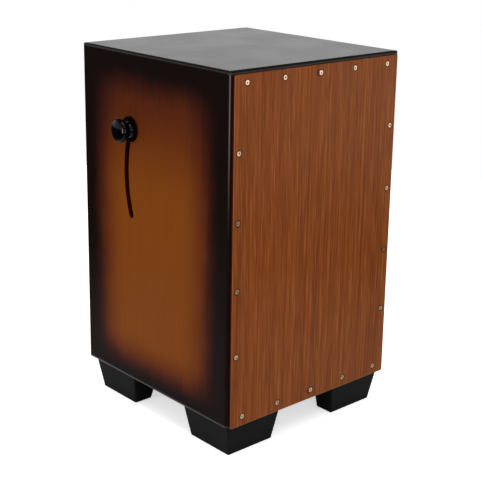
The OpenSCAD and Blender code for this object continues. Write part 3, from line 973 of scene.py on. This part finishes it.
@dataclass
class Snare:
    """The snare: a dowel with three sets of coiled wires, swung by a steel lever.

    Attributes:
        strands: How many coiled wires one set has.
        wire_mm: The wire's own thickness.
        coil_pitch_mm: How far a coil climbs in one turn. It is half of that in truth, and is
            drawn open enough to show.
        turn_steps: How many points one turn has.
    """

    strands: int = 10
    wire_mm: float = 0.4
    coil_pitch_mm: float = 1.8
    turn_steps: int = 10
    sets: tuple[str, ...] = ("left", "centre", "right")
    steel: tuple[str, ...] = ("pivot_pin_left", "pivot_pin_right", "lever_arm", "lever_screws", "lever_stud", "lever_nut", "snare_screws")

    def coil(self, foot: Vector, tip: Vector, radius: float) -> Shape:
        """Winds one wire into a coil from foot to tip.

        Args:
            foot: The lower end of the coil's axis.
            tip: The upper end of the coil's axis.
            radius: The coil's outer radius.

        Returns:
            The coil's points and faces.
        """
        axis = tip - foot
        along = axis.normalized()
        first = along.orthogonal().normalized()
        second = along.cross(first)
        wire = self.wire_mm * MM / 2
        turns = axis.length / (self.coil_pitch_mm * MM)
        steps = int(turns * self.turn_steps)
        line = []
        for i in range(steps + 1):
            a = math.tau * turns * i / steps
            out = (radius - wire) * (math.cos(a) * first + math.sin(a) * second)
            line.append(foot + along * wire + (axis - along * 2 * wire) * (i / steps) + out)
        return swept(line, wire, 5)

    def build_wires(self) -> None:
        """Winds the three sets of wires in the place of the frame's plain rods."""
        for name in self.sets:
            node = f"snare_strands_{name}"
            low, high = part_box(node)
            pitch_and_wire = (high.x - low.x) / (self.strands - 1 + 0.5)
            radius = pitch_and_wire / 4
            span = high.z - low.z
            tilt = math.atan2(high.y - low.y - 2 * radius, span)
            rise = Vector((0.0, radius * math.cos(tilt), radius * math.sin(tilt)))
            foot = Vector((0.0, high.y, low.z)) + Vector((0.0, -rise.y, rise.z))
            tip = Vector((0.0, low.y, high.z)) + Vector((0.0, rise.y, -rise.z))
            coils = []
            for i in range(self.strands):
                x = Vector((low.x + radius + i * (high.x - low.x - 2 * radius) / (self.strands - 1), 0.0, 0.0))
                coils.append(self.coil(foot + x, tip + x, radius))
            piece = new_piece(f"coiled_wires_{name}", joined(coils), SPRING_WIRE, "lever")
            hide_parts(node)

    def dress_metal(self) -> None:
        """Gives the dowel, the lever, its pins and its bushes their finishes."""
        dress("snare_dowel", BEECH)
        for node in self.steel:
            dress(node, ZINC_STEEL)
        for name in self.sets:
            dress(f"snare_plate_{name}", ZINC_STEEL)
        for node in ("pivot_bush_left", "pivot_bush_right", "slide_washer"):
            dress(node, NYLON)

    def build(self) -> None:
        """Builds the wires and dresses the rest."""
        self.build_wires()
        self.dress_metal()


# ---------------------------------------------------------------- the knob


@dataclass
class Knob:
    """The knob outside the box that clamps the lever, with its brass insert and felt ring.

    Attributes:
        ring_segments: How many steps the felt ring has round its middle.
        section_points: How many points the felt's section has.
        nap_mm: How far the felt's surface wanders.
    """

    ring_segments: int = 96
    section_points: int = 28
    nap_mm: float = 0.12
    hole_mm: float = 8.6

    def build_felt(self) -> None:
        """Models the felt ring: pressed flat on both faces, with a soft, slightly fuzzy rim."""
        low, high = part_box("felt_washer")
        middle = (low + high) / 2
        outer = (high.y - low.y) / 2
        inner = self.hole_mm * MM / 2
        half = (high.x - low.x) / 2
        reach = (outer - inner) / 2
        points: list[Vector] = []
        for i in range(self.ring_segments):
            a = math.tau * i / self.ring_segments
            for k in range(self.section_points):
                b = math.tau * k / self.section_points
                # a section between an ellipse and a box: flat faces and full, rounded rims
                out = math.copysign(abs(math.cos(b)) ** 0.35, math.cos(b))
                deep = math.copysign(abs(math.sin(b)) ** 0.6, math.sin(b))
                r = (inner + outer) / 2 + out * (reach - self.nap_mm * MM)
                spot = Vector((deep * (half - self.nap_mm * MM), r * math.cos(a), r * math.sin(a)))
                spot *= 1 + 0.006 * noise.noise(spot * per_metre(3))
                points.append(middle + spot)
        n = self.section_points
        faces = [
            (
                i * n + k,
                i * n + (k + 1) % n,
                ((i + 1) % self.ring_segments) * n + (k + 1) % n,
                ((i + 1) % self.ring_segments) * n + k,
            )
            for i in range(self.ring_segments)
            for k in range(n)
        ]
        ring = new_piece("felt_ring", (points, faces), BLACK_FELT, "washer")
        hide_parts("felt_washer")

    def build(self) -> None:
        """Builds the felt and dresses the knob and its insert."""
        self.build_felt()
        dress("snare_knob", KNOB_PLASTIC)
        dress("knob_insert", BRASS)


# ---------------------------------------------------------------- floor, light and camera


@dataclass(frozen=True)
class Softbox:
    """A lamp with an even rectangular face.

    Attributes:
        name: The lamp's name.
        place: Where it stands, in metres.
        width: The length of its level sides, in metres.
        height: The length of its upright sides, in metres.
        watts: Its power.
    """

    name: str
    place: tuple[float, float, float]
    width: float
    height: float
    watts: float

    def build(self, aim: Vector) -> None:
        """Sets the lamp up, facing aim."""
        lamp = bpy.data.lights.new(self.name, "AREA")
        lamp.shape, lamp.energy = "RECTANGLE", self.watts
        lamp.size, lamp.size_y = self.width, self.height
        stand = bpy.data.objects.new(self.name, lamp)
        stand.location = self.place
        stand.rotation_mode = "QUATERNION"
        stand.rotation_quaternion = (aim - stand.location).to_track_quat("-Z", "Y")
        bpy.context.scene.collection.objects.link(stand)


@dataclass
class Studio:
    """A white round floor in a plain white room, soft lamps above, and the camera.

    Attributes:
        floor_radius: The floor's radius, in metres.
        floor_colour: The paper's colour, in its darker spots.
        floor_glow: What the floor adds to its own white where it is seen, not to the light.
        mirrored_floor: What the outer floor sends to a reflection.
        mirrored_ring: Where that outer floor begins and is reached, in metres from the middle.
        room_level: How strongly the room lights the box from all around.
        mirrored_ceiling: What the room high above sends to a reflection.
        mirrored_front: What the room beyond the floor in front sends to a reflection.
        mirrored_back: The same behind the box.
        aim: The middle of the box, where the lamps look.
        camera_place: The camera's place, in metres.
        camera_looks: The direction that it looks in.
        camera_roll: How far it leans to its left, in degrees.
        lens_mm: Its focal length on a 36 mm wide sensor.
        shift: How far its frame is moved off the lens's axis, as a share of its width.
    """

    floor_radius: float = 1.4
    floor_colour: str = "#F0F0EE"
    floor_glow: float = 0.6
    mirrored_floor: str = "#1A1A1A"
    mirrored_ring: tuple[float, float] = (0.45, 0.8)
    room_level: float = 0.7
    mirrored_ceiling: float = 0.1
    mirrored_front: float = 2.0
    mirrored_back: float = 0.02
    aim: tuple[float, float, float] = (0.0, 0.0, 0.27)
    lamps: tuple[Softbox, ...] = (
        Softbox("overhead_softbox", (-0.5, -0.5, 2.4), 1.5, 1.5, 24),
        Softbox("front_softbox", (-0.5, -2.5, 0.9), 0.9, 0.9, 6),
        Softbox("corner_softbox", (-0.55, -1.0, 1.35), 0.35, 0.35, 2.5),
        Softbox("window_softbox", (-1.7, 0.17, 0.31), 0.2, 0.6, 6),
    )
    camera_place: tuple[float, float, float] = (-0.99346, -1.11878, 0.70800)
    camera_looks: tuple[float, float, float] = (0.64733, 0.71277, -0.27005)
    camera_roll: float = 1.01
    lens_mm: float = 84.20
    shift: tuple[float, float] = (-0.0187, -0.0851)

    def build_floor(self) -> None:
        """Lays the round white floor."""
        steps = 96
        turns = [math.tau * i / steps for i in range(steps)]
        points = [(0.0, 0.0, 0.0)] + [
            (self.floor_radius * math.cos(a), self.floor_radius * math.sin(a), 0.0) for a in turns
        ]
        mesh = bpy.data.meshes.new("floor")
        mesh.from_pydata(points, [], [(0, i + 1, (i + 1) % steps + 1) for i in range(steps)])
        floor = bpy.data.objects.new("floor", mesh)
        bpy.context.scene.collection.objects.link(floor)
        mesh.materials.append(self.paper())

    def paper(self) -> bpy.types.Material:
        """Makes the floor's paper: fully matt, so that it only keeps a soft shadow.

        Returns:
            The material, which reflections see as a dark floor.
        """
        material = bpy.data.materials.new("Matt white paper, laid flat")
        material.use_nodes = True
        tree = material.node_tree
        shader = tree.nodes["Principled BSDF"]
        tooth = mottle(tree, 1.5, 2)
        paper = add_node(tree, "ShaderNodeMix", {0: tooth, 6: self.floor_colour, 7: "#FFFFFF"}, **BLEND)
        middle = add_node(tree, "ShaderNodeTexCoord", output="Object")
        away = add_node(tree, "ShaderNodeVectorMath", {0: middle}, output="Value", operation="LENGTH")
        limits = {1: self.mirrored_ring[0], 2: self.mirrored_ring[1]}
        share = add_node(tree, "ShaderNodeMapRange", {0: away, **limits}, **FADE)
        mirrored = add_node(tree, "ShaderNodeLightPath", output="Is Glossy Ray")
        share = add_node(tree, "ShaderNodeMath", {0: share, 1: mirrored}, **TIMES)
        paper = add_node(tree, "ShaderNodeMix", {0: share, 6: paper, 7: self.mirrored_floor}, **BLEND)
        tree.links.new(paper, shader.inputs["Base Color"])
        shader.inputs["Roughness"].default_value = 0.95
        shader.inputs["Specular IOR Level"].default_value = 0.1
        shader.inputs["Emission Color"].default_value = linear("#FFFFFF")
        seen = add_node(tree, "ShaderNodeLightPath", output="Is Camera Ray")
        glow = add_node(tree, "ShaderNodeMath", {0: seen, 1: self.floor_glow}, **TIMES)
        tree.links.new(glow, shader.inputs["Emission Strength"])
        return material

    def mirrored_room(self, tree: Tree) -> Socket:
        """Works out what a reflection sees of the room.

        Args:
            tree: The world's node tree.

        Returns:
            White at eye level, darker high above, and below it bright only in front of the box.
        """
        way = add_node(tree, "ShaderNodeTexCoord", output="Generated")
        up = add_node(tree, "ShaderNodeSeparateXYZ", {0: way}, output=Z)
        behind = add_node(tree, "ShaderNodeSeparateXYZ", {0: way}, output=Y)
        limits = {1: 0.24, 2: 0.5, 3: 1.0, 4: self.mirrored_ceiling}
        above = add_node(tree, "ShaderNodeMapRange", {0: up, **limits}, **FADE)
        limits = {1: -0.6, 2: 0.0, 3: self.mirrored_front, 4: self.mirrored_back}
        below = add_node(tree, "ShaderNodeMapRange", {0: behind, **limits}, **FADE)
        share = add_node(tree, "ShaderNodeMapRange", {0: up, 1: -0.1, 2: 0.05}, **FADE)
        return add_node(tree, "ShaderNodeMix", {0: share, 2: below, 3: above}, data_type="FLOAT")

    def build_room(self) -> None:
        """Makes the room: white to the camera and through glass, and a plain level of light."""
        world = bpy.data.worlds.new("White room")
        bpy.context.scene.world = world
        world.use_nodes = True
        tree = world.node_tree
        back = tree.nodes["Background"]
        mirrored = add_node(tree, "ShaderNodeLightPath", output="Is Glossy Ray")
        strength = add_node(
            tree,
            "ShaderNodeMix",
            {0: mirrored, 2: self.room_level, 3: self.mirrored_room(tree)},
            data_type="FLOAT",
        )
        for ray in ("Is Camera Ray", "Is Transmission Ray"):
            seen = add_node(tree, "ShaderNodeLightPath", output=ray)
            strength = add_node(tree, "ShaderNodeMix", {0: seen, 2: strength, 3: 1.0}, data_type="FLOAT")
        back.inputs["Color"].default_value = linear("#FFFFFF")
        tree.links.new(strength, back.inputs["Strength"])

    def build_camera(self) -> None:
        """Sets the camera up at the height of a standing view, in front of the knob's corner."""
        lens = bpy.data.cameras.new("camera")
        lens.sensor_width = 36.0
        lens.lens = self.lens_mm
        lens.shift_x, lens.shift_y = self.shift
        lens.clip_start, lens.clip_end = 0.05, 50.0
        camera = bpy.data.objects.new("camera", lens)
        looks = Vector(self.camera_looks).normalized()
        level = looks.to_track_quat("-Z", "Y").to_matrix()
        lean = Matrix.Rotation(math.radians(self.camera_roll), 3, looks)
        camera.matrix_world = Matrix.Translation(self.camera_place) @ (lean.inverted() @ level).to_4x4()
        bpy.context.scene.collection.objects.link(camera)
        bpy.context.scene.camera = camera

    def build(self) -> None:
        """Builds the floor, the room, the lamps and the camera."""
        self.build_floor()
        self.build_room()
        for lamp in self.lamps:
            lamp.build(Vector(self.aim))
        self.build_camera()
        bpy.context.scene.view_settings.view_transform = "Standard"
        log.info("set up the floor, %d lamps and the camera", len(self.lamps))


def main() -> None:
    """Builds the cajon and its studio in order."""
    logging.basicConfig(level=logging.INFO, format="%(name)s: %(message)s")
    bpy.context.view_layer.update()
    Case().build()
    Snare().build()
    Knob().build()
    Studio().build()


if __name__ == "__main__":
    main()
